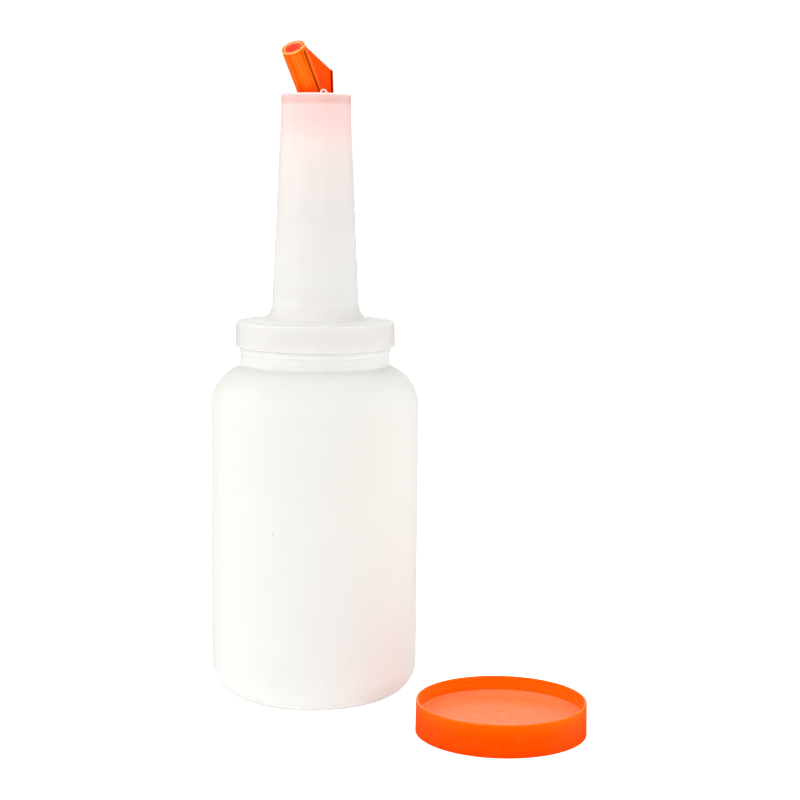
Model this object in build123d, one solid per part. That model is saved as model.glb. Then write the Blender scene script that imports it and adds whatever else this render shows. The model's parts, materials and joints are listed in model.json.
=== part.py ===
from build123d import *
from math import acos, cos, degrees, radians, sin, sqrt
import os

os.makedirs("parts", exist_ok=True)

# Store-and-pour container: jar, screw-on pour neck with its washer, plug-in spout, and the lid beside it.
# Millimetres, +Z up, origin on the floor at the centre of the jar's base.

# Jar body
jar_radius = 60.0
jar_wall = 1.5
base_fillet = 18.5
base_thickness = 1.8
standing_ring_width = 5.5
push_up_height = 3.0
push_up_slope_width = 7.0
push_up_edge_fillet = 2.0

# Jar finish, the screw mouth, and where the shoulder meets it
rim_z = 214.3
finish_radius = 43.0
finish_wall = 2.0
finish_height = 22.17
shoulder_centre_inset = 7.1
rim_edge_fillet = 0.5
finish_root_fillet = 1.8
bead_drop = 11.4
bead_height = 3.6
bead_projection = 0.6
bead_slope_height = 0.5

# Right-hand thread shared by the jar, the neck's collar and the lid
thread_pitch = 5.08
thread_turns = 1.25
thread_top_drop = 2.05
thread_height = 1.0
thread_root_width = 2.2
thread_crest_width = 1.0
thread_clearance = 0.35
thread_embed = 0.3
thread_end_half_height = 2.3
thread_end_cutter_radius = 20.0
inner_thread_phase = 180.0

# Neck collar
collar_thread_gap = 0.3
collar_wall = 1.7
collar_draft = 0.4
collar_skirt_depth = 12.4
collar_panel_thickness = 1.9
collar_edge_fillet = 0.8
collar_low_chamfer = 0.5

# Washer between the jar's rim and the collar's underside
washer_thickness = 1.5
washer_bore_gap = 0.4
washer_mouth_overhang = 1.5

# Tapered neck
neck_height = 128.7
neck_band_height = 13.3
neck_top_radius = 19.8
neck_foot_rise = 11.3
neck_foot_radius = 24.9
neck_wall = 1.6
neck_flare_fillet = 10.0
neck_foot_inner_fillet = 2.0
neck_rim_fillet = 0.35
neck_rim_wall = 1.0
seal_rebate_depth = 5.0

# Small loop standing on the neck's rim
loop_heading = -75.0
loop_radius = 2.0
loop_hole_radius = 1.2
loop_inner_inset = 0.75
loop_outer_inset = 0.1
loop_root_depth = 0.6

# Spout plug
seal_running_gap = 0.05
plug_gap = 0.4
plug_wall = 1.3
plug_length = 15.0
plug_lead_chamfer = 0.8
plug_inner_fillet = 1.0
spout_disc_drop = 0.4
spout_disc_thickness = 1.8
disc_edge_fillet = 0.4

# Leaning pour tube; the fin points to spout_heading, the tube leans the opposite way
spout_heading = 60.0
tube_lean = 36.5
tube_foot_offset = 5.67
tube_radius = 6.8
tube_wall = 2.0
tube_run = 30.66
tube_mouth_fillet = 0.5
tube_mouth_inner_fillet = 0.4
tube_overrun = 12.0

# Saddle on the tube's back half, edged by a groove on each side
saddle_projection = 0.2
saddle_edge_offset = 0.1
saddle_end_run = 27.9
groove_width = 1.05
groove_depth = 0.8
groove_end_run = 28.6

# Fin behind the tube, with a flange across its back edge
fin_thickness = 1.6
fin_top_run = 29.6
fin_top_reach = 7.1
fin_corner_offset = 14.55
fin_corner_height = 14.1
fin_foot_offset = 15.65
fin_flange_width = 3.74
fin_flange_thickness = 0.75
fin_flange_corner_fillet = 1.0

# Air hole through the disc beside the fin
vent_offset = 5.0
vent_side_offset = 2.6
vent_radius = 0.8

# Storage lid, standing beside the jar
lid_x = 106.0
lid_y = -77.5
lid_height = 17.8
lid_thread_gap = 1.0
lid_wall = 1.85
lid_draft = 0.25
lid_rim_wall = 1.4
lid_rim_fillet = 0.5
lid_recess_depth = 8.35
lid_recess_step_depth = 4.7
lid_recess_step = 0.35
lid_panel_thickness = 1.3
lid_panel_corner_fillet = 0.8
lid_entry_chamfer = 0.4
lid_thread_low_z = 1.53
lid_seal_gap = 0.4
lid_seal_thickness = 1.2
lid_seal_height = 2.2
lid_seal_tip_fillet = 0.5
gate_mark_radius = 1.6
gate_mark_height = 0.3
gate_mark_offset = 6.0

# Jar heights and radii that follow from the values above
standing_ring_inner_radius = jar_radius - base_fillet - standing_ring_width
push_up_radius = standing_ring_inner_radius - push_up_slope_width
mouth_radius = finish_radius - finish_wall
shoulder_centre_radius = finish_radius - shoulder_centre_inset
shoulder_radius = jar_radius - shoulder_centre_radius
shoulder_root_z = rim_z - finish_height
shoulder_start_z = shoulder_root_z - sqrt(shoulder_radius**2 - shoulder_centre_inset**2)
bead_high_z = rim_z - bead_drop
bead_low_z = bead_high_z - bead_height
thread_crest_radius = finish_radius + thread_height
thread_start_z = rim_z - thread_top_drop - thread_turns * thread_pitch
inner_thread_crest_radius = finish_radius + thread_clearance

# Collar, washer, neck and plug
collar_bore_radius = thread_crest_radius + collar_thread_gap
collar_low_radius = collar_bore_radius + collar_wall
collar_top_radius = collar_low_radius - collar_draft
collar_under_z = rim_z + washer_thickness
collar_top_z = collar_under_z + collar_panel_thickness
collar_low_z = collar_under_z - collar_skirt_depth
washer_outer_radius = collar_bore_radius - washer_bore_gap
washer_inner_radius = mouth_radius - washer_mouth_overhang
neck_top_z = collar_top_z + neck_height
neck_band_low_z = neck_top_z - neck_band_height
neck_foot_z = collar_top_z + neck_foot_rise
neck_taper = (neck_foot_radius - neck_top_radius) / (neck_band_low_z - neck_foot_z)
neck_bore_radius = neck_top_radius - neck_wall
seal_rebate_radius = neck_top_radius - neck_rim_wall
seal_ledge_z = neck_top_z - seal_rebate_depth
plug_radius = neck_bore_radius - plug_gap
plug_bore_radius = plug_radius - plug_wall
spout_disc_top_z = neck_top_z - spout_disc_drop
spout_disc_under_z = spout_disc_top_z - spout_disc_thickness
tube_bore_radius = tube_radius - tube_wall

# Lid
lid_bore_radius = thread_crest_radius + lid_thread_gap
lid_low_radius = lid_bore_radius + lid_wall
lid_top_radius = lid_low_radius - lid_draft
lid_recess_radius = lid_top_radius - lid_rim_wall
lid_panel_top_z = lid_height - lid_recess_depth
lid_panel_under_z = lid_panel_top_z - lid_panel_thickness
lid_thread_turns = (lid_panel_under_z - thread_top_drop - lid_thread_low_z) / thread_pitch
lid_seal_outer_radius = mouth_radius - lid_seal_gap


def corner_near(sketch, radius, height):
    """The outline's corner nearest to a radius and a height."""
    return sketch.vertices().sort_by_distance((radius, height))[0]


def turned(sketch):
    """A round solid from half an outline drawn as radius and height."""
    return revolve(Plane.XZ * sketch, Axis.Z)


def neck_radius_at(height):
    """The tapered neck's outside radius at a height, the taper carried on as a straight line."""
    return neck_top_radius + (neck_band_low_z - height) * neck_taper


def jar_outside():
    """The jar as a full solid, without its thread."""
    sweep_angle = degrees(acos(shoulder_centre_inset / shoulder_radius))
    bead_radius = finish_radius + bead_projection
    with BuildSketch() as outline:
        with BuildLine():
            shoulder = CenterArc(
                (shoulder_centre_radius, shoulder_start_z), shoulder_radius, 0, sweep_angle
            )
            Polyline(
                shoulder @ 0,
                (jar_radius, 0),
                (standing_ring_inner_radius, 0),
                (push_up_radius, push_up_height),
                (0, push_up_height),
                (0, rim_z),
                (finish_radius, rim_z),
                (finish_radius, bead_high_z),
                (bead_radius, bead_high_z - bead_slope_height),
                (bead_radius, bead_low_z + bead_slope_height),
                (finish_radius, bead_low_z),
                shoulder @ 1,
            )
        make_face()
        root = shoulder @ 1
        fillet(corner_near(outline, jar_radius, 0), base_fillet)
        fillet(corner_near(outline, standing_ring_inner_radius, 0), push_up_edge_fillet)
        fillet(corner_near(outline, push_up_radius, push_up_height), push_up_edge_fillet)
        fillet(corner_near(outline, root.X, root.Y), finish_root_fillet)
        fillet(corner_near(outline, finish_radius, rim_z), rim_edge_fillet)
    return turned(outline.sketch)


def jar_inside():
    """The jar's hollow, open at the mouth."""
    inner_radius = jar_radius - jar_wall
    inner_shoulder_radius = shoulder_radius - jar_wall
    inner_base_z = base_thickness
    sweep_angle = degrees(acos((mouth_radius - shoulder_centre_radius) / inner_shoulder_radius))
    with BuildSketch() as outline:
        with BuildLine():
            shoulder = CenterArc(
                (shoulder_centre_radius, shoulder_start_z), inner_shoulder_radius, 0, sweep_angle
            )
            Polyline(
                shoulder @ 0,
                (inner_radius, inner_base_z),
                (standing_ring_inner_radius, inner_base_z),
                (push_up_radius, push_up_height + base_thickness),
                (0, push_up_height + base_thickness),
                (0, rim_z),
                (mouth_radius, rim_z),
                shoulder @ 1,
            )
        make_face()
        root = shoulder @ 1
        fillet(corner_near(outline, inner_radius, inner_base_z), base_fillet - jar_wall)
        fillet(corner_near(outline, push_up_radius, push_up_height + base_thickness), push_up_edge_fillet)
        fillet(corner_near(outline, root.X, root.Y), finish_root_fillet)
    return turned(outline.sketch)


def thread_ridge(root_radius, crest_radius, turns):
    """One helical ridge that starts at height 0 over +X, its flanks carried on into its wall."""
    outward = 1 if crest_radius > root_radius else -1
    ridge_height = abs(crest_radius - root_radius)
    crest_half = thread_crest_width / 2
    flank_spread = (thread_root_width / 2 - crest_half) / ridge_height
    sunk_half = crest_half + flank_spread * (ridge_height + thread_embed)
    path = Helix(thread_pitch, thread_pitch * turns, root_radius)
    with BuildSketch(Plane(origin=path @ 0, x_dir=(outward, 0, 0), z_dir=path % 0)) as section:
        with BuildLine():
            Polyline(
                (-thread_embed, -sunk_half),
                (ridge_height, -crest_half),
                (ridge_height, crest_half),
                (-thread_embed, sunk_half),
                close=True,
            )
        make_face()
    return sweep(section.sketch, path=path, is_frenet=True)


def outer_thread():
    """The jar's ridge, each end fading out along a plane just inside the finish's surface."""
    ridge = thread_ridge(finish_radius, thread_crest_radius, thread_turns)
    plane_x = finish_radius - thread_embed / 2
    reach = 2 * (thread_crest_radius - finish_radius)
    cutter = Pos(plane_x + reach / 2, 0, 0) * Box(reach, finish_radius, 2 * thread_end_half_height)
    ridge -= cutter
    ridge -= Pos(0, 0, thread_turns * thread_pitch) * Rot(0, 0, thread_turns * 360) * cutter
    return Pos(0, 0, thread_start_z) * ridge


def inner_thread(bore_radius, turns):
    """A closure's ridge, each end fading into the bore's wall."""
    ridge = thread_ridge(bore_radius, inner_thread_crest_radius, turns)
    cutter_x = bore_radius + thread_embed / 2 - thread_end_cutter_radius
    cutter = Pos(cutter_x, 0, 0) * Cylinder(thread_end_cutter_radius, 2 * thread_end_half_height)
    ridge -= cutter
    ridge -= Pos(0, 0, turns * thread_pitch) * Rot(0, 0, turns * 360) * cutter
    return ridge


def jar():
    return jar_outside() - jar_inside() + outer_thread()


def neck_washer():
    ring = Cylinder(washer_outer_radius, washer_thickness) - Cylinder(washer_inner_radius, washer_thickness)
    return Pos(0, 0, rim_z + washer_thickness / 2) * ring


def neck_outside():
    """Neck, flared foot and collar as a full solid."""
    foot_radius = neck_radius_at(collar_top_z)
    with BuildSketch() as outline:
        with BuildLine():
            Polyline(
                (0, collar_low_z),
                (collar_low_radius, collar_low_z),
                (collar_top_radius, collar_top_z),
                (foot_radius, collar_top_z),
                (neck_top_radius, neck_band_low_z),
                (neck_top_radius, neck_top_z),
                (0, neck_top_z),
                close=True,
            )
        make_face()
        chamfer(corner_near(outline, collar_low_radius, collar_low_z), collar_low_chamfer)
        fillet(corner_near(outline, collar_top_radius, collar_top_z), collar_edge_fillet)
        fillet(corner_near(outline, foot_radius, collar_top_z), neck_flare_fillet)
        fillet(corner_near(outline, neck_top_radius, neck_top_z), neck_rim_fillet)
    return turned(outline.sketch)


def neck_inside():
    """Collar bore, tapered bore and the rebate that seats the spout's seal band."""
    foot_radius = neck_radius_at(collar_under_z) - neck_wall
    with BuildSketch() as outline:
        with BuildLine():
            Polyline(
                (0, collar_low_z),
                (collar_bore_radius, collar_low_z),
                (collar_bore_radius, collar_under_z),
                (foot_radius, collar_under_z),
                (neck_bore_radius, neck_band_low_z),
                (neck_bore_radius, seal_ledge_z),
                (seal_rebate_radius, seal_ledge_z),
                (seal_rebate_radius, neck_top_z),
                (0, neck_top_z),
                close=True,
            )
        make_face()
        fillet(corner_near(outline, foot_radius, collar_under_z), neck_foot_inner_fillet)
    return turned(outline.sketch)


def rim_loop():
    """Low half-round loop on the neck's rim, between the seal rebate and the rim's outside."""
    inner_radius = neck_top_radius - loop_inner_inset
    outer_radius = neck_top_radius - loop_outer_inset
    height = loop_radius + loop_root_depth
    arch = Cylinder(loop_radius, neck_top_radius) - Cylinder(loop_hole_radius, neck_top_radius)
    wall = Cylinder(outer_radius, 2 * height) - Cylinder(inner_radius, 2 * height)
    block = Box(neck_top_radius, 2 * loop_radius, height)
    block = Pos(neck_top_radius, 0, height / 2 - loop_root_depth) * block
    loop = Pos(neck_top_radius, 0, 0) * Rot(0, 90, 0) * arch & wall & block
    return Pos(0, 0, neck_top_z) * Rot(0, 0, loop_heading) * loop


def pour_neck():
    ridge = Pos(0, 0, thread_start_z) * Rot(0, 0, inner_thread_phase) * inner_thread(
        collar_bore_radius, thread_turns
    )
    return neck_outside() - neck_inside() + ridge + rim_loop()


def spout_plug():
    """Seal band, plug sleeve and top disc."""
    band_radius = seal_rebate_radius - seal_running_gap
    plug_low_z = neck_top_z - plug_length
    with BuildSketch() as outline:
        with BuildLine():
            Polyline(
                (0, spout_disc_under_z),
                (plug_bore_radius, spout_disc_under_z),
                (plug_bore_radius, plug_low_z),
                (plug_radius, plug_low_z),
                (plug_radius, seal_ledge_z),
                (band_radius, seal_ledge_z),
                (band_radius, spout_disc_top_z),
                (0, spout_disc_top_z),
                close=True,
            )
        make_face()
        fillet(corner_near(outline, plug_bore_radius, spout_disc_under_z), plug_inner_fillet)
        chamfer(corner_near(outline, plug_radius, plug_low_z), plug_lead_chamfer)
        fillet(corner_near(outline, band_radius, spout_disc_top_z), disc_edge_fillet)
    return turned(outline.sketch)


def tube_plane():
    """The tube's own plane: origin at its foot, Z up the tube, X to its back, where the fin is."""
    lean = radians(tube_lean)
    return Plane(
        origin=(-tube_foot_offset, 0, neck_top_z),
        x_dir=(cos(lean), 0, sin(lean)),
        z_dir=(-sin(lean), 0, cos(lean)),
    )


def tube_body():
    """The tube as a full upright rod with a rounded outer edge at its mouth."""
    rod = Pos(0, 0, (tube_run - tube_overrun) / 2) * Cylinder(tube_radius, tube_run + tube_overrun)
    mouth_edge = rod.edges().filter_by(GeomType.CIRCLE).sort_by(Axis.Z)[-1]
    return fillet(mouth_edge, tube_mouth_fillet)


def tube_bore():
    """The tube's bore with its mouth's inner edge rounded, as a solid to cut away."""
    with BuildSketch() as outline:
        with BuildLine():
            Polyline(
                (0, -tube_overrun),
                (tube_bore_radius, -tube_overrun),
                (tube_bore_radius, tube_run),
                (tube_radius, tube_run),
                (tube_radius, tube_run + tube_overrun),
                (0, tube_run + tube_overrun),
                close=True,
            )
        make_face()
        fillet(corner_near(outline, tube_bore_radius, tube_run), tube_mouth_inner_fillet)
    return tube_plane() * turned(outline.sketch)


def tube_outside():
    """The tube with its saddle and side grooves, cut off at the disc's underside."""
    saddle_radius = tube_radius + saddle_projection
    saddle_length = saddle_end_run + tube_overrun
    saddle_middle = (saddle_end_run - tube_overrun) / 2
    back_half = Box(saddle_radius + saddle_edge_offset, 2 * saddle_radius, saddle_length)
    back_half = Pos((saddle_radius - saddle_edge_offset) / 2, 0, 0) * back_half
    saddle = Cylinder(saddle_radius, saddle_length) & back_half
    groove_slot = Box(groove_width, 2 * groove_depth, groove_end_run + tube_overrun)
    groove_x = -saddle_edge_offset - groove_width / 2
    groove_middle = (groove_end_run - tube_overrun) / 2
    near_groove = Pos(groove_x, -tube_radius, groove_middle) * groove_slot
    far_groove = Pos(groove_x, tube_radius, groove_middle) * groove_slot
    upright = tube_body() + Pos(0, 0, saddle_middle) * saddle - near_groove - far_groove
    return tube_plane() * upright - below_disc()


def below_disc():
    """The space under the disc that the leaning tube must not reach into."""
    depth = 2 * tube_overrun
    return Pos(0, 0, spout_disc_under_z - depth / 2) * Box(2 * plug_radius, 2 * plug_radius, depth)


def fin():
    """Thin web rooted in the tube's wall, with a wider flange across its back edge."""
    lean = radians(tube_lean)
    root_reach = tube_radius - tube_wall / 2
    low_z = spout_disc_top_z - spout_disc_thickness / 2
    corner_z = neck_top_z + fin_corner_height
    low_run = (low_z - neck_top_z - root_reach * sin(lean)) / cos(lean)
    root_low = tube_plane().from_local_coords(Vector(root_reach, 0, low_run))
    root_top = tube_plane().from_local_coords(Vector(root_reach, 0, fin_top_run))
    top = tube_plane().from_local_coords(Vector(fin_top_reach, 0, fin_top_run))
    slope = (top.Z - corner_z) / (fin_corner_offset - top.X)
    with BuildSketch() as web:
        with BuildLine():
            Polyline(
                (root_top.X, root_top.Z),
                (top.X, top.Z),
                (fin_corner_offset, corner_z),
                (fin_foot_offset, low_z),
                (root_low.X, root_low.Z),
                close=True,
            )
        make_face()
    with BuildSketch() as back_strip:
        with BuildLine():
            Polyline(
                (fin_corner_offset, corner_z),
                (fin_foot_offset, low_z),
                (fin_foot_offset - fin_flange_thickness, low_z),
                (fin_corner_offset - fin_flange_thickness, corner_z + fin_flange_thickness * slope),
                close=True,
            )
        make_face()
    plate = extrude(Plane.XZ * web.sketch, fin_thickness / 2, both=True)
    flange = extrude(Plane.XZ * back_strip.sketch, fin_flange_width / 2, both=True)
    top_edges = flange.faces().sort_by(Axis.Z)[-1].edges().sort_by(Axis.Y)
    flange = fillet([top_edges[0], top_edges[-1]], fin_flange_corner_fillet)
    return plate + flange


def pour_spout():
    """One moulding, built with its fin towards +X and then turned to its heading."""
    disc_middle_z = (spout_disc_top_z + spout_disc_under_z) / 2
    vent = Cylinder(vent_radius, 2 * spout_disc_thickness)
    vent = Pos(vent_offset, -vent_side_offset, disc_middle_z) * vent
    body = spout_plug() + tube_outside() + fin() - tube_bore() - vent
    return Rot(0, 0, spout_heading) * body


def lid_shell():
    """Skirt, recessed panel and seal ring, standing on the floor over the origin."""
    recess_low_radius = lid_recess_radius - lid_recess_step
    recess_step_z = lid_height - lid_recess_step_depth
    seal_inner_radius = lid_seal_outer_radius - lid_seal_thickness
    seal_low_z = lid_panel_under_z - lid_seal_height
    with BuildSketch() as outline:
        with BuildLine():
            Polyline(
                (0, lid_panel_under_z),
                (seal_inner_radius, lid_panel_under_z),
                (seal_inner_radius, seal_low_z),
                (lid_seal_outer_radius, seal_low_z),
                (lid_seal_outer_radius, lid_panel_under_z),
                (lid_bore_radius, lid_panel_under_z),
                (lid_bore_radius, 0),
                (lid_low_radius, 0),
                (lid_top_radius, lid_height),
                (lid_recess_radius, lid_height),
                (lid_recess_radius, recess_step_z),
                (recess_low_radius, recess_step_z - lid_recess_step),
                (recess_low_radius, lid_panel_top_z),
                (0, lid_panel_top_z),
                close=True,
            )
        make_face()
        fillet(corner_near(outline, seal_inner_radius, seal_low_z), lid_seal_tip_fillet)
        fillet(corner_near(outline, lid_seal_outer_radius, seal_low_z), lid_seal_tip_fillet)
        chamfer(corner_near(outline, lid_bore_radius, 0), lid_entry_chamfer)
        fillet(corner_near(outline, lid_top_radius, lid_height), lid_rim_fillet)
        fillet(corner_near(outline, lid_recess_radius, lid_height), lid_rim_fillet)
        fillet(corner_near(outline, recess_low_radius, lid_panel_top_z), lid_panel_corner_fillet)
    return turned(outline.sketch)


def storage_lid():
    """Placed beside the jar, its thread as far below the panel as the jar's is below the rim."""
    ridge = Pos(0, 0, lid_thread_low_z) * inner_thread(lid_bore_radius, lid_thread_turns)
    gate_mark = Pos(0, gate_mark_offset, lid_panel_top_z) * Cylinder(gate_mark_radius, 2 * gate_mark_height)
    return Pos(lid_x, lid_y, 0) * (lid_shell() + ridge + gate_mark)


export_step(jar(), "parts/jar.step")
export_step(neck_washer(), "parts/neck_washer.step")
export_step(pour_neck(), "parts/pour_neck.step")
export_step(pour_spout(), "parts/pour_spout.step")
export_step(storage_lid(), "parts/storage_lid.step")
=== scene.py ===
import json
from math import radians

import bmesh
import bpy
from mathutils import Euler, Matrix, Vector


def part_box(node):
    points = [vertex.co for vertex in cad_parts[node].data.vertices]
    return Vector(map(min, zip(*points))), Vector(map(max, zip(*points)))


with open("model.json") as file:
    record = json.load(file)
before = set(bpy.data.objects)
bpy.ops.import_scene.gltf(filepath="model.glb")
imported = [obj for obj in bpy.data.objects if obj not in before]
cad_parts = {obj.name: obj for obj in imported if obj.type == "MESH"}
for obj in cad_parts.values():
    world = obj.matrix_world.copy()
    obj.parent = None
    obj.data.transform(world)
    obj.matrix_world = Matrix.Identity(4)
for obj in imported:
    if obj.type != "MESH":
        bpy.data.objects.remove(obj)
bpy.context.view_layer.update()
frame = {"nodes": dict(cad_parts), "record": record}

scene = bpy.context.scene
nodes = frame["nodes"]
mounts = {mount["name"]: mount for mount in frame["record"]["mounts"]}

# The photograph's camera, in metres and degrees.
camera = {
    "place": (0.04911, -1.01527, 0.30150),
    "downward": 7.259,    # below the horizon
    "roll": 0.557,        # about the line of sight
    "lens": 79.58,        # millimetres, on the sensor below
    "sensor": 36.0,
    "clip": (0.05, 20.0),    # nearest and farthest that it sees
}


def makeCamera():
    data = bpy.data.cameras.new("photoCamera")
    data.lens = camera["lens"]
    data.sensor_width = camera["sensor"]
    data.clip_start, data.clip_end = camera["clip"]
    holder = bpy.data.objects.new("photoCamera", data)
    scene.collection.objects.link(holder)
    turn = Euler((radians(90 - camera["downward"]), 0, 0)).to_matrix()
    turn = turn @ Matrix.Rotation(radians(camera["roll"]), 3, "Z")
    holder.matrix_world = Matrix.Translation(camera["place"]) @ turn.to_4x4()
    scene.camera = holder


def setSockets(tree, node, sockets):
    # each value is a constant, or another node's output to link from
    for socket, value in sockets.items():
        if isinstance(value, bpy.types.NodeSocket):
            tree.links.new(value, node.inputs[socket])
        else:
            node.inputs[socket].default_value = value


def addNode(tree, kind, sockets, **settings):
    node = tree.nodes.new("ShaderNode" + kind)
    for setting, value in settings.items():
        setattr(node, setting, value)
    setSockets(tree, node, sockets)
    return node


# Studio light: a bright room in front, a dimmer one behind, softboxes above and beside.
studio = {
    "floorSize": 30.0,
    "floorColour": (0.90, 0.90, 0.90, 1),
    "floorRoughness": 0.9,
    "floorGlow": 0.32,              # light that the floor adds to what bounces off it
    "floorMirrored": (0.05, 0.05, 0.05, 1),    # its colour in reflections
    "seenWhite": 1.1,               # how bright the floor and backdrop are to the camera
    "skyTint": (1.0, 0.992, 0.975, 1),
    "skyFront": 1.28,
    "skyBack": 0.84,
    "frontToBack": (-0.9, 0.3),     # from the front's light to the back's, along a direction's Y
    "skyOverhead": 0.80,            # the share of that light left straight above
    "sideToTop": (0.1, 0.9),        # from all of it to that share, along a direction's Z
    "mirrorRoom": 0.04,             # reflections see a dark room
    "mirrorStrip": 1.05,            # and a bright upright strip behind the pitcher
    "stripEdge": (0.17, 0.43),      # the strip's soft side edges, along X
    "stripDepth": (0.0, 0.3),       # its soft start, along Y
    "lookAt": (0.03, 0.0, 0.16),    # where the softboxes aim
}
softboxes = {
    "overheadSoftbox": {"place": (0.05, 0.05, 1.55), "size": 0.8, "power": 3.4, "mirrored": True},
    "keySoftbox": {"place": (-1.18, -0.72, 0.60), "size": 0.9, "power": 7.0, "mirrored": False},
    "fillSoftbox": {"place": (0.57, -0.20, 0.06), "size": 0.4, "power": 1.25, "mirrored": False},
}


def makeWorld():
    world = bpy.data.worlds.new("studioSky")
    scene.world = world
    world.use_nodes = True
    tree = world.node_tree
    tree.nodes.clear()
    coord = addNode(tree, "TexCoord", {})
    split = addNode(tree, "SeparateXYZ", {"Vector": coord.outputs["Generated"]})
    path = addNode(tree, "LightPath", {}).outputs
    lit = remap(
        tree, split.outputs["Y"], *studio["frontToBack"], studio["skyFront"], studio["skyBack"], soft=True)
    dimmed = remap(tree, split.outputs["Z"], *studio["sideToTop"], 1.0, studio["skyOverhead"], soft=True)
    lit = calc(tree, "MULTIPLY", lit, dimmed)
    side = calc(tree, "ABSOLUTE", split.outputs["X"])
    strip = remap(tree, side, *studio["stripEdge"], 1.0, 0.0, soft=True)
    strip = calc(tree, "MULTIPLY", strip, remap(tree, split.outputs["Y"], *studio["stripDepth"]))
    mirrored = remap(tree, strip, 0.0, 1.0, studio["mirrorRoom"], studio["mirrorStrip"])
    strength = addNode(tree, "Mix", {0: path["Is Glossy Ray"], 2: lit, 3: mirrored}).outputs[0]
    room = addNode(tree, "Background", {"Color": studio["skyTint"], "Strength": strength})
    seen = addNode(tree, "Background", {"Color": (1, 1, 1, 1), "Strength": studio["seenWhite"]})
    mix = addNode(tree, "MixShader", {0: path["Is Camera Ray"], 1: room.outputs[0], 2: seen.outputs[0]})
    addNode(tree, "OutputWorld", {"Surface": mix.outputs[0]})


def makeSoftbox(name, box):
    data = bpy.data.lights.new(name, "AREA")
    data.shape = "DISK"
    data.size = box["size"]
    data.energy = box["power"]
    holder = bpy.data.objects.new(name, data)
    scene.collection.objects.link(holder)
    holder.location = box["place"]
    aim = Vector(studio["lookAt"]) - Vector(box["place"])
    holder.rotation_euler = aim.to_track_quat("-Z", "Y").to_euler()
    holder.visible_glossy = box["mirrored"]


def makeFloor():
    bm = bmesh.new()
    bmesh.ops.create_grid(bm, x_segments=1, y_segments=1, size=studio["floorSize"] / 2)
    mesh = bpy.data.meshes.new("floor")
    bm.to_mesh(mesh)
    bm.free()
    floor = bpy.data.objects.new("floor", mesh)
    scene.collection.objects.link(floor)
    paper = bpy.data.materials.new("floorPaper")
    paper.use_nodes = True
    tree = paper.node_tree
    path = addNode(tree, "LightPath", {}).outputs
    colour = mixColour(tree, path["Is Glossy Ray"], studio["floorColour"], studio["floorMirrored"])
    seen = calc(tree, "MULTIPLY", path["Is Camera Ray"], studio["seenWhite"])
    bounced = calc(tree, "MULTIPLY", path["Is Diffuse Ray"], studio["floorGlow"])
    setSockets(tree, tree.nodes["Principled BSDF"], {
        "Base Color": colour, "Roughness": studio["floorRoughness"], "Specular IOR Level": 0.0,
        "Emission Color": (1, 1, 1, 1), "Emission Strength": calc(tree, "ADD", seen, bounced),
    })
    mesh.materials.append(paper)


def calc(tree, operation, a, b=0.0):
    return addNode(tree, "Math", {0: a, 1: b}, operation=operation).outputs[0]


def remap(tree, value, fromMin, fromMax, toMin=0.0, toMax=1.0, soft=False):
    return addNode(tree, "MapRange", {
        "Value": value, "From Min": fromMin, "From Max": fromMax, "To Min": toMin, "To Max": toMax,
    }, interpolation_type="SMOOTHSTEP" if soft else "LINEAR").outputs["Result"]


def noise(tree, vector, scale, detail=2.0, roughness=0.5):
    return addNode(tree, "TexNoise", {
        "Vector": vector, "Scale": scale, "Detail": detail, "Roughness": roughness,
    }).outputs["Fac"]


def mixColour(tree, factor, first, second, blend="MIX"):
    node = addNode(tree, "Mix", {}, data_type="RGBA", blend_type=blend)
    shown = {socket.name: socket for socket in node.inputs if socket.enabled}
    for label, value in (("Factor", factor), ("A", first), ("B", second)):
        if isinstance(value, bpy.types.NodeSocket):
            tree.links.new(value, shown[label])
        else:
            shown[label].default_value = value
    return next(socket for socket in node.outputs if socket.enabled)


def heights(tree, vector):
    return addNode(tree, "SeparateXYZ", {"Vector": vector}).outputs["Z"]


scene.view_settings.view_transform = "Standard"
scene.view_settings.look = "None"
makeCamera()
makeWorld()
makeFloor()
for boxName, box in softboxes.items():
    makeSoftbox(boxName, box)
print("stage, camera and lights")


def newGroup(name, inputs, outputs):
    tree = bpy.data.node_groups.new(name, "ShaderNodeTree")
    for label, value in inputs.items():
        kind = "NodeSocketVector" if isinstance(value, tuple) else "NodeSocketFloat"
        tree.interface.new_socket(label, in_out="INPUT", socket_type=kind).default_value = value
    for label in outputs:
        tree.interface.new_socket(label, in_out="OUTPUT", socket_type="NodeSocketFloat")
    return tree, tree.nodes.new("NodeGroupInput").outputs, tree.nodes.new("NodeGroupOutput")


def placeGroup(tree, group, sockets):
    node = tree.nodes.new("ShaderNodeGroup")
    node.node_tree = group
    setSockets(tree, node, sockets)
    return node.outputs


skinShape = {
    "grainDetail": 3.0,
    "grainShare": 0.12,           # the grain's height beside the ripple's
    "rippleDetail": 1.0,
    "cloudStretch": 0.7,          # the cloud's scale beside the ripple's
    "cloudDetail": (3.0, 0.6),    # detail and roughness of the noise
    "cloudCut": (0.32, 0.68),
}


def makeMouldedSkin():
    # the fine grain and slow ripple that a mould leaves on plastic
    tree, given, out = newGroup(
        "mouldedSkin",
        {"Vector": (0, 0, 0), "Grain Scale": 900.0, "Ripple Scale": 25.0, "Ripple Amount": 0.5},
        ("Height", "Cloud"),
    )
    grain = noise(tree, given["Vector"], given["Grain Scale"], skinShape["grainDetail"])
    ripple = noise(tree, given["Vector"], given["Ripple Scale"], skinShape["rippleDetail"])
    swell = calc(tree, "MULTIPLY", ripple, given["Ripple Amount"])
    cloudScale = calc(tree, "MULTIPLY", given["Ripple Scale"], skinShape["cloudStretch"])
    cloud = noise(tree, given["Vector"], cloudScale, *skinShape["cloudDetail"])
    setSockets(tree, out, {
        "Height": calc(tree, "ADD", swell, calc(tree, "MULTIPLY", grain, skinShape["grainShare"])),
        "Cloud": remap(tree, cloud, *skinShape["cloudCut"]),
    })
    return tree


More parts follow.
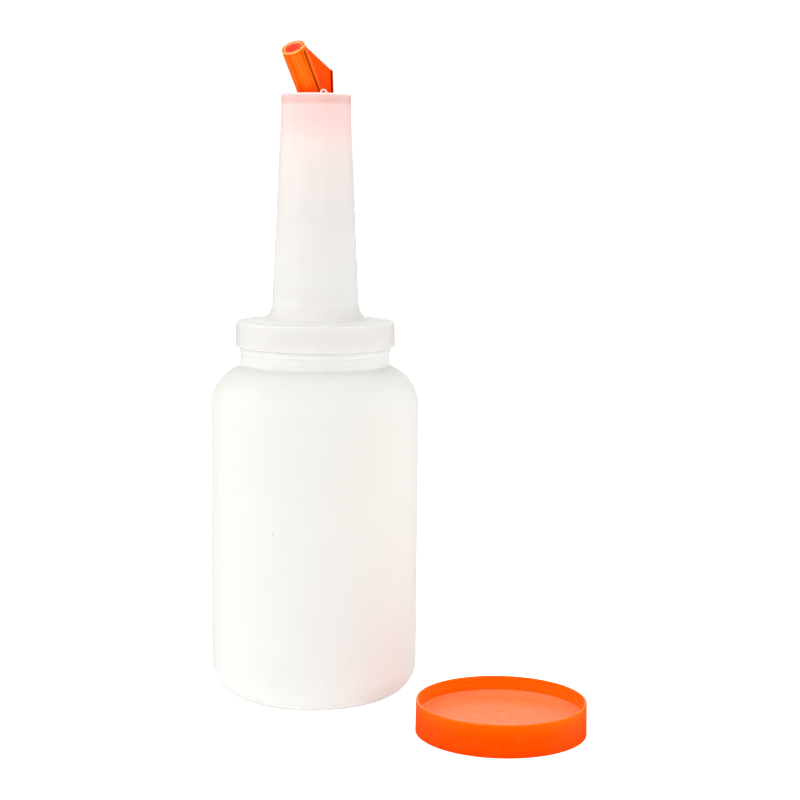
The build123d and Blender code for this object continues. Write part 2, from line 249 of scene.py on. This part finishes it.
markShape = {
    "scratchTurns": ((0.5, 0.3, 0.2), (1.2, -0.4, 1.9)),
    "scratchStretch": (1.0, 1.0, 0.06),
    "scratchDetail": (2.0, 0.7),
    "scratchCut": (0.66, 0.74),
    "rubDetail": (4.0, 0.65),
    "rubCut": (0.52, 0.66),
}


def makeHandlingMarks():
    # hair scratches that run two ways, and small dull rubs between them
    tree, given, out = newGroup(
        "handlingMarks",
        {"Vector": (0, 0, 0), "Scratch Scale": 260.0, "Rub Scale": 60.0},
        ("Scratch", "Rub"),
    )
    lines = []
    for turn in markShape["scratchTurns"]:
        long = addNode(tree, "Mapping", {
            "Vector": given["Vector"], "Rotation": turn, "Scale": markShape["scratchStretch"],
        })
        line = noise(tree, long.outputs["Vector"], given["Scratch Scale"], *markShape["scratchDetail"])
        lines.append(remap(tree, line, *markShape["scratchCut"]))
    rub = noise(tree, given["Vector"], given["Rub Scale"], *markShape["rubDetail"])
    setSockets(tree, out, {
        "Scratch": calc(tree, "MAXIMUM", lines[0], lines[1]),
        "Rub": remap(tree, rub, *markShape["rubCut"], soft=True),
    })
    return tree


ringShape = {
    "breakupDetail": (3.0, 0.6),
    "breakupCut": (0.35, 0.6),
}


def makeWornRing():
    # a worn band round a piece at one height, broken up as real wear is
    tree, given, out = newGroup(
        "wornRing", {"Vector": (0, 0, 0), "Height": 0.0, "Width": 0.001, "Breakup Scale": 120.0}, ("Mask",),
    )
    away = calc(tree, "ABSOLUTE", calc(tree, "SUBTRACT", heights(tree, given["Vector"]), given["Height"]))
    near = calc(tree, "SUBTRACT", 1.0, calc(tree, "DIVIDE", away, given["Width"]))
    broken = noise(tree, given["Vector"], given["Breakup Scale"], *ringShape["breakupDetail"])
    broken = remap(tree, broken, *ringShape["breakupCut"])
    band = calc(tree, "MULTIPLY", remap(tree, near, 0.0, 1.0, soft=True), broken)
    setSockets(tree, out, {"Mask": band})
    return tree


speckSolid = 0.5    # the share of a speck that is fully coloured


def makeSpecks():
    # lone unmelted grains in the plastic, far apart
    tree, given, out = newGroup("specks", {"Vector": (0, 0, 0), "Spacing": 60.0, "Size": 0.03}, ("Mask",))
    cell = addNode(tree, "TexVoronoi", {"Vector": given["Vector"], "Scale": given["Spacing"]})
    near = calc(tree, "SUBTRACT", 1.0, calc(tree, "DIVIDE", cell.outputs["Distance"], given["Size"]))
    setSockets(tree, out, {"Mask": remap(tree, near, 0.0, 1.0 - speckSolid)})
    return tree


mouldedSkin = makeMouldedSkin()
handlingMarks = makeHandlingMarks()
wornRing = makeWornRing()
specks = makeSpecks()
print("shader groups")


plasticBase = {
    "ior": 1.5,
    "bumpStrength": 0.6,
    "rubShare": 0.6,              # how far a rub dulls the gloss beside a scratch
}


def startPlastic(name, look):
    # the parts that every plastic here shares: its skin, its bump and its marks
    mat = bpy.data.materials.new(name)
    mat.use_nodes = True
    tree = mat.node_tree
    shader = tree.nodes["Principled BSDF"]
    place = addNode(tree, "TexCoord", {}).outputs["Object"]
    skin = placeGroup(tree, mouldedSkin, {
        "Vector": place, "Grain Scale": look["grainScale"],
        "Ripple Scale": look["rippleScale"], "Ripple Amount": look["rippleAmount"],
    })
    marks = placeGroup(tree, handlingMarks, {
        "Vector": place, "Scratch Scale": look["scratchScale"], "Rub Scale": look["rubScale"],
    })
    colour = mixColour(tree, skin["Cloud"], look["colour"], look["cloudColour"])
    rub = calc(tree, "MULTIPLY", marks["Rub"], plasticBase["rubShare"])
    dull = calc(tree, "MAXIMUM", marks["Scratch"], rub)
    roughness = remap(tree, dull, 0.0, 1.0, *look["roughness"])
    bump = addNode(tree, "Bump", {
        "Height": skin["Height"], "Distance": look["bump"], "Strength": plasticBase["bumpStrength"],
    })
    setSockets(tree, shader, {
        "Roughness": roughness, "Normal": bump.outputs["Normal"], "IOR": plasticBase["ior"],
        "Specular IOR Level": look["gloss"], "Specular Tint": look["glossTint"],
        "Subsurface Weight": look["soak"], "Subsurface Radius": look["soakReach"],
        "Subsurface Scale": look["soakDepth"], "Alpha": look["alpha"],
    })
    return mat, tree, shader, place, colour, marks


def radiusOf(tree, part):
    flat = addNode(tree, "CombineXYZ", {"X": part["X"], "Y": part["Y"]})
    return addNode(tree, "VectorMath", {0: flat.outputs["Vector"]}, operation="LENGTH").outputs["Value"]


def bandMask(tree, value, low, high, soft=0.0001):
    rise = remap(tree, value, low - soft, low + soft)
    fall = remap(tree, value, high - soft, high + soft, 1.0, 0.0)
    return calc(tree, "MULTIPLY", rise, fall)


def paint(tree, colour, mask, share, newColour):
    return mixColour(tree, calc(tree, "MULTIPLY", mask, share), colour, newColour)


def colourByHeight(tree, height, steps):
    # each step is a height in metres with the red, green and blue there, lowest first;
    # a new ramp has two stops, and the other steps add theirs
    low, high = steps[0][0], steps[-1][0]
    ramp = addNode(tree, "ValToRGB", {"Fac": remap(tree, height, low, high)})
    stops = ramp.color_ramp.elements
    for count, (at, red, green, blue) in enumerate(steps):
        stop = stops[count] if count < 2 else stops.new(1.0)
        stop.position = (at - low) / (high - low)
        stop.color = (red, green, blue, 1)
    return ramp.outputs["Color"]


def toneByHeight(tree, height, steps):
    return colourByHeight(tree, height, [(at, tone, tone, tone) for at, tone in steps])


jarLook = {
    "colour": (0.924, 0.917, 0.852, 1),
    "cloudColour": (0.913, 0.906, 0.838, 1),
    "wall": (             # painted light and shade by height: lighter at the foot, in the crease under the shoulder and in the slit under the collar, darker round the finish
        (0.000, 1.06), (0.045, 1.05), (0.100, 1.01), (0.145, 0.98), (0.172, 0.98), (0.186, 0.995),
        (0.1915, 1.07), (0.1945, 0.910), (0.2025, 0.890), (0.2027, 1.040), (0.2036, 1.040),
        (0.2042, 0.950),
    ),
    "finishTint": ((0.1915, 1.0, 1.0, 1.0), (0.1945, 1.0, 1.0, 1.05)),    # whiter above the shoulder
    "speckColour": (0.80, 0.785, 0.72, 1),
    "specks": {"Spacing": 38.0, "Size": 0.038},
    "foot": {"Height": 0.0, "Width": 0.0035},    # worn where it stands
    "slit": (0.2026, 0.2036),    # heights of the slit under the collar, given a painted glow that lifts its shade
    "slitPaintedGlow": 0.36,
    "slitPaintedGlowColour": (0.92, 0.92, 0.90, 1),
    "wearColour": (0.90, 0.89, 0.86, 1),
    "roughness": (0.42, 0.50),
    "gloss": 0.12,
    "glossTint": (1, 1, 1, 1),
    "soak": 1.0,
    "soakReach": (1.0, 1.0, 1.0),
    "soakDepth": 0.005,
    "alpha": 0.86,
    "grainScale": 700.0,
    "rippleScale": 18.0,
    "rippleAmount": 1.0,
    "bump": 0.0004,
    "scratchScale": 240.0,
    "rubScale": 45.0,
}


def milkyJar():
    mat, tree, shader, place, colour, _ = startPlastic("milkyJarPlastic", jarLook)
    height = heights(tree, place)
    # painted light and shade on the jar, by height
    colour = mixColour(tree, 1.0, colour, toneByHeight(tree, height, jarLook["wall"]), "MULTIPLY")
    colour = mixColour(tree, 1.0, colour, colourByHeight(tree, height, jarLook["finishTint"]), "MULTIPLY")
    dot = placeGroup(tree, specks, {"Vector": place} | jarLook["specks"])
    foot = placeGroup(tree, wornRing, {"Vector": place} | jarLook["foot"])
    colour = mixColour(tree, dot["Mask"], colour, jarLook["speckColour"])
    colour = mixColour(tree, foot["Mask"], colour, jarLook["wearColour"])
    # a painted glow in the slit under the collar, lifting its shade
    paintedGlow = mixColour(tree, bandMask(tree, height, *jarLook["slit"]), (0, 0, 0, 1), jarLook["slitPaintedGlowColour"])
    setSockets(tree, shader, {
        "Base Color": colour, "Emission Color": paintedGlow, "Emission Strength": jarLook["slitPaintedGlow"],
    })
    return mat


neckLook = {
    "colour": (0.815, 0.807, 0.780, 1),
    "cloudColour": (0.798, 0.790, 0.760, 1),
    "wearColour": (0.86, 0.85, 0.83, 1),
    "wearShare": 0.25,
    "wearWidth": 0.002,
    "loopHeight": 0.0020,    # how far the small loop stands over the rim
    "tone": (                # painted light and shade on the collar's edges, its top and the foot, by height from the rim: darker at the collar's lower edge, a painted highlight line at the foot's base
        (-0.1430, 0.68), (-0.1421, 0.79), (-0.1410, 0.84), (-0.1295, 0.845), (-0.1292, 0.80),
        (-0.1288, 0.82), (-0.12872, 1.04), (-0.1284, 1.04), (-0.1278, 0.92), (-0.1240, 0.95),
        (-0.1190, 1.02), (-0.0950, 0.98),
    ),
    "plugLightAndRimHighlight": (                # painted light: the orange plug's colour seen through and bleeding down the milky wall, and a painted highlight along the rim
        (-0.0950, 1.00, 0.995, 1.005),
        (-0.0620, 0.99, 0.955, 0.965),
        (-0.0450, 1.01, 0.930, 0.940),
        (-0.0290, 1.06, 0.900, 0.900),
        (-0.0150, 1.11, 0.780, 0.785),
        (-0.0065, 1.11, 0.770, 0.775),
        (-0.0050, 1.20, 0.630, 0.620),
        (-0.0032, 1.20, 0.640, 0.630),
        (-0.0018, 1.20, 0.680, 0.675),
        (-0.0009, 1.20, 0.760, 0.755),
        (-0.0003, 1.17, 1.170, 1.170),
    ),
    "clear": (               # the wall's alpha: lowest at mid-height, more at the collar and the plug
        (-0.1260, 0.96), (-0.1140, 0.78), (-0.0700, 0.76), (-0.0150, 0.95),
    ),
    "roughness": (0.30, 0.36),
    "gloss": 0.15,
    "glossTint": (1, 1, 1, 1),
    "soak": 1.0,
    "soakReach": (1.0, 1.0, 1.0),
    "soakDepth": 0.003,
    "alpha": 1.0,            # until the steps of clear take its place
    "grainScale": 900.0,
    "rippleScale": 20.0,
    "rippleAmount": 0.5,
    "bump": 0.0002,
    "scratchScale": 300.0,
    "rubScale": 70.0,
}


def milkyNeck():
    mat, tree, shader, place, colour, _ = startPlastic("milkyNeckPlastic", neckLook)
    low, high = (Vector(corner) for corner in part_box("pour_neck"))
    above = calc(tree, "SUBTRACT", heights(tree, place), high.z - neckLook["loopHeight"])
    # painted light and shade by height
    colour = mixColour(tree, 1.0, colour, toneByHeight(tree, above, neckLook["tone"]), "MULTIPLY")
    # the plug's orange light and a rim highlight, painted into the wall
    colour = mixColour(tree, 1.0, colour, colourByHeight(tree, above, neckLook["plugLightAndRimHighlight"]), "MULTIPLY")
    worn = placeGroup(tree, wornRing, {"Vector": place, "Height": low.z, "Width": neckLook["wearWidth"]})
    colour = paint(tree, colour, worn["Mask"], neckLook["wearShare"], neckLook["wearColour"])
    setSockets(tree, shader, {"Base Color": colour, "Alpha": toneByHeight(tree, above, neckLook["clear"])})
    return mat


orangeLook = {
    "colour": (1.0, 0.100, 0.0, 1),
    "cloudColour": (0.98, 0.090, 0.0, 1),
    "wearColour": (1.0, 0.15, 0.03, 1),
    "roughness": (0.30, 0.40),
    "glossTint": (1.0, 0.12, 0.0, 1),
    "soak": 0.5,
    "soakReach": (1.0, 0.5, 0.1),
    "soakDepth": 0.002,
    "alpha": 1.0,
    "grainScale": 1100.0,
    "rippleScale": 40.0,
    "rippleAmount": 0.6,
    "bump": 0.0002,
    "scratchScale": 320.0,
    "rubScale": 130.0,
}


lidLook = {
    "gloss": 0.20,
    # the panel is painted paler, a painted reflection of the bright room, with real mottle
    "panelReflectionColour": (1.0, 0.230, 0.068, 1),
    "panelReflectionMottle": (1.0, 0.192, 0.044, 1),
    "panelEdgeReflection": (1.0, 0.310, 0.140, 1),    # a painted reflection, paler towards the recess wall
    "panelEdgeReflectionFrom": (0.029, 0.041),
    "panelEdgeReflectionShare": 0.5,
    "mottleScale": 210.0,
    "mottleDetail": (3.0, 0.6),
    "mottleCut": (0.40, 0.62),
    # the recess wall is painted lighter, a painted light that lifts its shade
    "recessPaintedLightColour": (1.0, 0.150, 0.002, 1),
    "rimWidth": 0.0010,
    "rimBlend": 0.0006,
    "recessFrom": (-0.0010, -0.0006),    # above the panel's top
    "panelTo": (0.0003, 0.0009),
    "wallShadeShare": 0.85,
    "wall": (                            # the outer wall's colour by height from the rim: painted shade, darker towards its foot, and a painted highlight at the rim
        (-0.0178, 0.84, 0.046, 0.0),
        (-0.0131, 0.93, 0.060, 0.0),
        (-0.0079, 0.96, 0.068, 0.0),
        (-0.0037, 0.98, 0.088, 0.0),
        (-0.0015, 1.00, 0.108, 0.0),
        (-0.0005, 1.00, 0.135, 0.0),
        (0.0000, 1.00, 0.180, 0.0),
    ),
    "edgeWear": 0.5,
    "edgeWearWidth": 0.0008,
    "rubWear": 0.10,
}


def orangeLid():
    mat, tree, shader, place, colour, marks = startPlastic(
        "orangeLidPlastic", orangeLook | {"gloss": lidLook["gloss"]})
    low, high = (Vector(corner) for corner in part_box("storage_lid"))
    panelTop = mounts["lid_panel"]["pos_m"][2]
    middle = (low + high) / 2
    local = addNode(tree, "Mapping", {
        "Vector": place, "Location": (-middle.x, -middle.y, -panelTop),
    }).outputs["Vector"]
    part = addNode(tree, "SeparateXYZ", {"Vector": local}).outputs
    radius = radiusOf(tree, part)
    wall = (high.x - low.x) / 2 - lidLook["rimWidth"]
    outside = remap(tree, radius, wall - lidLook["rimBlend"], wall)
    inside = calc(tree, "SUBTRACT", 1.0, outside)
    below = calc(tree, "SUBTRACT", heights(tree, place), high.z)
    # painted shade down the outer wall, with a painted highlight at the rim
    wallShadeAndHighlight = colourByHeight(tree, below, lidLook["wall"])
    colour = paint(tree, colour, outside, lidLook["wallShadeShare"], wallShadeAndHighlight)
    recess = calc(tree, "MULTIPLY", inside, remap(tree, part["Z"], *lidLook["recessFrom"]))
    # the recess wall painted lighter, lifting its shade
    colour = mixColour(tree, recess, colour, lidLook["recessPaintedLightColour"])
    panel = calc(tree, "MULTIPLY", recess, remap(tree, part["Z"], *lidLook["panelTo"], 1.0, 0.0))
    mottle = noise(tree, place, lidLook["mottleScale"], *lidLook["mottleDetail"])
    mottle = remap(tree, mottle, *lidLook["mottleCut"], soft=True)
    # the panel's painted reflection, mottled, and paler towards the recess wall
    panelReflectionColour = mixColour(tree, mottle, lidLook["panelReflectionColour"], lidLook["panelReflectionMottle"])
    pale = remap(tree, radius, *lidLook["panelEdgeReflectionFrom"], soft=True)
    panelReflectionColour = paint(tree, panelReflectionColour, pale, lidLook["panelEdgeReflectionShare"], lidLook["panelEdgeReflection"])
    colour = mixColour(tree, panel, colour, panelReflectionColour)
    for height in (low.z, high.z):
        worn = placeGroup(tree, wornRing, {
            "Vector": place, "Height": height, "Width": lidLook["edgeWearWidth"],
        })
        colour = paint(tree, colour, worn["Mask"], lidLook["edgeWear"], orangeLook["wearColour"])
    colour = paint(tree, colour, marks["Rub"], lidLook["rubWear"], orangeLook["wearColour"])
    setSockets(tree, shader, {"Base Color": colour})
    return mat


spoutLook = {
    "gloss": 0.12,
    # off the tube, the spout is painted darker as painted shade; the tube is painted lighter as painted
    # light
    "offTubeShadeColour": (1.0, 0.076, 0.0, 1),
    "offTubeShadeShare": 0.7,
    "tubeLitColour": (1.0, 0.118, 0.0, 1),
    "streakColour": (1.0, 0.165, 0.012, 1),
    "streakScale": (620.0, 620.0, 14.0),
    "streakDetail": 1.0,
    "streakCut": (0.42, 0.64),
    "hairColour": (0.80, 0.075, 0.0, 1),
    "hairScale": (1300.0, 1300.0, 40.0),
    "hairDetail": 2.0,
    "hairCut": (0.54, 0.68),
    "hairShare": 0.75,
    "tubeRadius": 0.0068,
    "tubeBlend": (0.0003, 0.0005),       # outside the tube
    "shadeColour": (0.60, 0.030, 0.0, 1),
    "shadeShare": 0.75,
    "shadeWidth": 0.0012,                # along the web, from the tube
    "shadeSoft": 0.0004,
    "webHalfThickness": 0.0008,
    "webBlend": (0.0001, 0.0004),
    # painted shade in the groove and on the flange's inner face
    "grooveAndFlangeShade": (0.22, 0.012, 0.0, 1),
    "grooveAndFlangeShadeShare": 0.8,
    "grooveMiddle": -0.00065,            # across the tube, towards the fin
    "grooveHalfWidth": 0.00060,
    "grooveDepth": 0.0008,
    "grooveEnd": (-0.0021, -0.0019),     # from the mouth
    "flangeSlope": 0.071,
    "flangeInner": 0.0392,               # along the flange's own normal
    "flangeOuter": 0.03995,
    "boreRadius": 0.0050,
    "boreBlend": 0.0002,
    # the bore is painted paler, a painted light that lifts its shade
    "borePaintedLightColour": (1.0, 0.150, 0.085, 1),
    "borePaintedGlow": 0.12,                    # a painted glow that lifts the shade in the bore
    "mouth": 0.01266,                    # from the bore's middle
    "lipWidth": 0.0005,
    "lipOver": 0.0003,                   # past the tube's wall, and into the bore
    "lipInner": 0.0002,                  # out from the bore's wall
    # a painted highlight along the edges of the mouth
    "lipHighlightColour": (1.0, 0.60, 0.20, 1),
    "lipHighlightShare": 0.85,
    "edge": 0.0001,                      # allowed past a cut's own size
}


def tubeStreaks(tree, local):
    # light streaks along the tube, under finer dark ones
    look = spoutLook
    masks = []
    for scale, detail, limits, soft in (
        (look["streakScale"], look["streakDetail"], look["streakCut"], True),
        (look["hairScale"], look["hairDetail"], look["hairCut"], False),
    ):
        long = addNode(tree, "Mapping", {"Vector": local, "Scale": scale}).outputs["Vector"]
        masks.append(remap(tree, noise(tree, long, 1.0, detail), *limits, soft=soft))
    streaked = mixColour(tree, masks[0], look["tubeLitColour"], look["streakColour"])
    return paint(tree, streaked, masks[1], look["hairShare"], look["hairColour"])


def webShade(tree, radius, side):
    look = spoutLook
    tube, half = look["tubeRadius"], look["webHalfThickness"]
    root = bandMask(tree, radius, tube, tube + look["shadeWidth"], look["shadeSoft"])
    low, high = look["webBlend"]
    return calc(tree, "MULTIPLY", root, remap(tree, side, half + low, half + high, 1.0, 0.0))


def grooveMask(tree, part, side):
    look = spoutLook
    middle, half = look["grooveMiddle"], look["grooveHalfWidth"]
    cut = bandMask(tree, part["X"], middle - half, middle + half)
    floor = look["tubeRadius"] - look["grooveDepth"] - look["edge"]
    deep = bandMask(tree, side, floor, look["tubeRadius"] + look["edge"])
    low, high = look["grooveEnd"]
    below = remap(tree, part["Z"], look["mouth"] + low, look["mouth"] + high, 1.0, 0.0)
    return calc(tree, "MULTIPLY", calc(tree, "MULTIPLY", cut, deep), below)


def flangeMask(tree, place, up):
    lean = Vector(up.xy).length
    normal = (-up.x / lean, -up.y / lean, spoutLook["flangeSlope"])
    across = addNode(tree, "VectorMath", {0: place, 1: normal}, operation="DOT_PRODUCT").outputs["Value"]
    return bandMask(tree, across, spoutLook["flangeInner"], spoutLook["flangeOuter"])


def lipHighlightMask(tree, part, radius):
    look = spoutLook
    start = look["mouth"] - look["lipWidth"]
    atMouth = remap(tree, part["Z"], start, start + look["edge"])
    tube, bore, over = look["tubeRadius"], look["boreRadius"], look["lipOver"]
    outer = bandMask(tree, radius, tube - look["lipWidth"], tube + over)
    inner = bandMask(tree, radius, bore - over, bore + look["lipInner"])
    return calc(tree, "MULTIPLY", atMouth, calc(tree, "MAXIMUM", outer, inner))


def orangeSpout():
    look = spoutLook
    mat, tree, shader, place, colour, _ = startPlastic(
        "orangeSpoutPlastic", orangeLook | {"gloss": look["gloss"]})
    # the tube's own frame: X runs towards the fin, Z up the bore
    up = Vector(mounts["spout_bore"]["axis"])
    across = up.cross(Vector((0, 0, 1))).normalized()
    turn = Matrix((across.cross(up), across, up)).transposed().to_euler()
    local = addNode(tree, "Mapping", {
        "Vector": place, "Location": mounts["spout_bore"]["pos_m"], "Rotation": turn,
    }, vector_type="TEXTURE").outputs["Vector"]
    part = addNode(tree, "SeparateXYZ", {"Vector": local}).outputs
    side = calc(tree, "ABSOLUTE", part["Y"])
    radius = radiusOf(tree, part)
    low, high = look["tubeBlend"]
    onTube = remap(tree, radius, look["tubeRadius"] + low, look["tubeRadius"] + high, 1.0, 0.0)
    # painted shade off the tube, and painted light on the tube under its streaks
    offTubeShaded = mixColour(tree, look["offTubeShadeShare"], colour, look["offTubeShadeColour"])
    colour = mixColour(tree, onTube, offTubeShaded, tubeStreaks(tree, local))
    colour = paint(tree, colour, webShade(tree, radius, side), look["shadeShare"], look["shadeColour"])
    # painted shade in the groove and on the flange's inner face
    for dark in (grooveMask(tree, part, side), flangeMask(tree, place, up)):
        colour = paint(tree, colour, dark, look["grooveAndFlangeShadeShare"], look["grooveAndFlangeShade"])
    # the bore, painted paler to lift its shade, and a painted highlight on the edges of its mouth
    inside = remap(tree, radius, look["boreRadius"], look["boreRadius"] + look["boreBlend"], 1.0, 0.0)
    colour = mixColour(tree, inside, colour, look["borePaintedLightColour"])
    colour = paint(tree, colour, lipHighlightMask(tree, part, radius), look["lipHighlightShare"], look["lipHighlightColour"])
    # a painted glow in the bore
    paintedGlow = mixColour(tree, inside, (0, 0, 0, 1), look["borePaintedLightColour"])
    setSockets(tree, shader, {
        "Base Color": colour, "Emission Color": paintedGlow, "Emission Strength": look["borePaintedGlow"],
    })
    return mat


washerLook = {
    "colour": (0.72, 0.71, 0.68, 1),
    "cloudColour": (0.64, 0.63, 0.60, 1),
    "wearColour": (0.80, 0.79, 0.77, 1),
    "rubWear": 0.3,
    "roughness": (0.55, 0.75),
    "gloss": 0.4,
    "glossTint": (1, 1, 1, 1),
    "soak": 0.0,
    "soakReach": (1, 1, 1),
    "soakDepth": 0.001,
    "alpha": 1.0,
    "grainScale": 1500.0,
    "rippleScale": 60.0,
    "rippleAmount": 0.5,
    "bump": 0.0003,
    "scratchScale": 400.0,
    "rubScale": 150.0,
}


def washerRubber():
    mat, tree, shader, place, colour, marks = startPlastic("paleWasherRubber", washerLook)
    colour = paint(tree, colour, marks["Rub"], washerLook["rubWear"], washerLook["wearColour"])
    setSockets(tree, shader, {"Base Color": colour})
    return mat


finishes = {
    "jar": milkyJar(),
    "pour_neck": milkyNeck(),
    "neck_washer": washerRubber(),
    "pour_spout": orangeSpout(),
    "storage_lid": orangeLid(),
}
for nodeName, finish in finishes.items():
    for slot in nodes[nodeName].material_slots:
        slot.material = finish
print("finishes on the CAD nodes")
